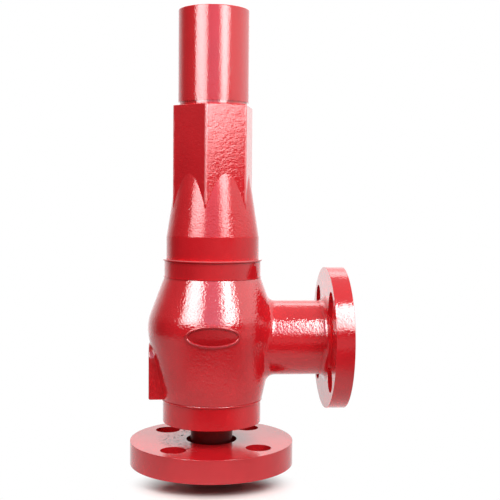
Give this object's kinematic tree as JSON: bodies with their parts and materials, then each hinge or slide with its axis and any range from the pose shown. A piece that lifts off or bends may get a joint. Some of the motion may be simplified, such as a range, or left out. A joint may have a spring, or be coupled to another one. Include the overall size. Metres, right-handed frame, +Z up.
{
  "type": "pressure safety valve",
  "caption": "Spring-loaded angle safety valve with a loose inlet flange, fixed side outlet flange, hexagonal bonnet and screwed cap over the adjusting screw.",
  "frame": {"origin": "centre of the inlet sealing face, at the bottom of the nozzle", "axes": "+Z up the spindle towards the cap, +X out through the side outlet, +Y to the back"},
  "size_m": [0.1636, 0.124, 0.3507],
  "materials": {
    "red_casting": "thick glossy enamel over a cast skin",
    "red_turned": "glossy enamel over a turned surface",
    "turned_steel": "bare turned steel",
    "lapped_seat": "lapped stainless steel",
    "spring_steel": "phosphated spring wire",
    "plated_steel": "zinc plated",
    "graphite": "pressed graphite sheet",
    "fibre": "compressed fibre sheet, painted at its edge"
  },
  "bodies": {
    "valve_body": {"body": "red_casting", "inlet_nozzle": "lapped_seat", "nozzle_gasket": "graphite", "drain_plug": "plated_steel", "drain_seal": "graphite", "ring_lock_screw": "plated_steel", "lock_screw_seal": "graphite", "guide": "turned_steel", "bonnet_gasket": "fibre", "bonnet": "red_casting", "spring": "spring_steel"},
    "loose_flange": {"inlet_flange": "red_casting"},
    "blowdown_ring": {"blowdown_ring": "turned_steel"},
    "lifting_set": {"disc": "lapped_seat", "disc_snap_ring": "spring_steel", "disc_holder": "turned_steel", "spindle": "turned_steel", "spindle_key_ring": "spring_steel", "spindle_collar": "turned_steel", "lower_spring_washer": "plated_steel"},
    "upper_washer": {"upper_spring_washer": "plated_steel"},
    "adjusting_screw": {"adjusting_screw": "turned_steel"},
    "lock_nut": {"lock_nut": "plated_steel"},
    "cap_seal": {"cap_gasket": "fibre"},
    "cap": {"cap": "red_turned"}
  },
  "joints": [
    {"name": "inlet_flange_turn", "type": "hinge", "parent": "valve_body", "child": "loose_flange", "pos_m": [0, 0, 0.018], "axis": [0, 0, 1], "continuous": true},
    {"name": "blowdown_ring_play", "type": "hinge", "parent": "valve_body", "child": "blowdown_ring", "pos_m": [0, 0, 0.088], "axis": [0, 0, 1], "range_deg": [-0.8, 0.8]},
    {"name": "disc_lift", "type": "slide", "parent": "valve_body", "child": "lifting_set", "axis": [0, 0, 1], "range_m": [0, 0.004], "stiffness_N_per_m": 14000, "springref_m": -0.012, "deforming": ["spring"]},
    {"name": "spring_preload", "type": "slide", "parent": "valve_body", "child": "upper_washer", "axis": [0, 0, 1], "range_m": [-0.003, 0.003], "deforming": ["spring"]},
    {"name": "adjusting_screw_turn", "type": "hinge", "parent": "upper_washer", "child": "adjusting_screw", "pos_m": [0, 0, 0.29], "axis": [0, 0, 1], "range_deg": [-720, 720]},
    {"name": "lock_nut_turn", "type": "hinge", "parent": "valve_body", "child": "lock_nut", "pos_m": [0, 0, 0.2969], "axis": [0, 0, 1], "range_deg": [0, 360]},
    {"name": "cap_rise", "type": "slide", "parent": "valve_body", "child": "cap_seal", "axis": [0, 0, 1], "range_m": [0, 0.0098]},
    {"name": "cap_turn", "type": "hinge", "parent": "cap_seal", "child": "cap", "pos_m": [0, 0, 0.316], "axis": [0, 0, 1], "range_deg": [0, 1764]}
  ],
  "couplings": [
    {"joint": "adjusting_screw_turn", "follows": "spring_preload", "rad_per_m": 4188.8},
    {"joint": "cap_turn", "follows": "cap_rise", "rad_per_m": 3141.6}
  ]
}
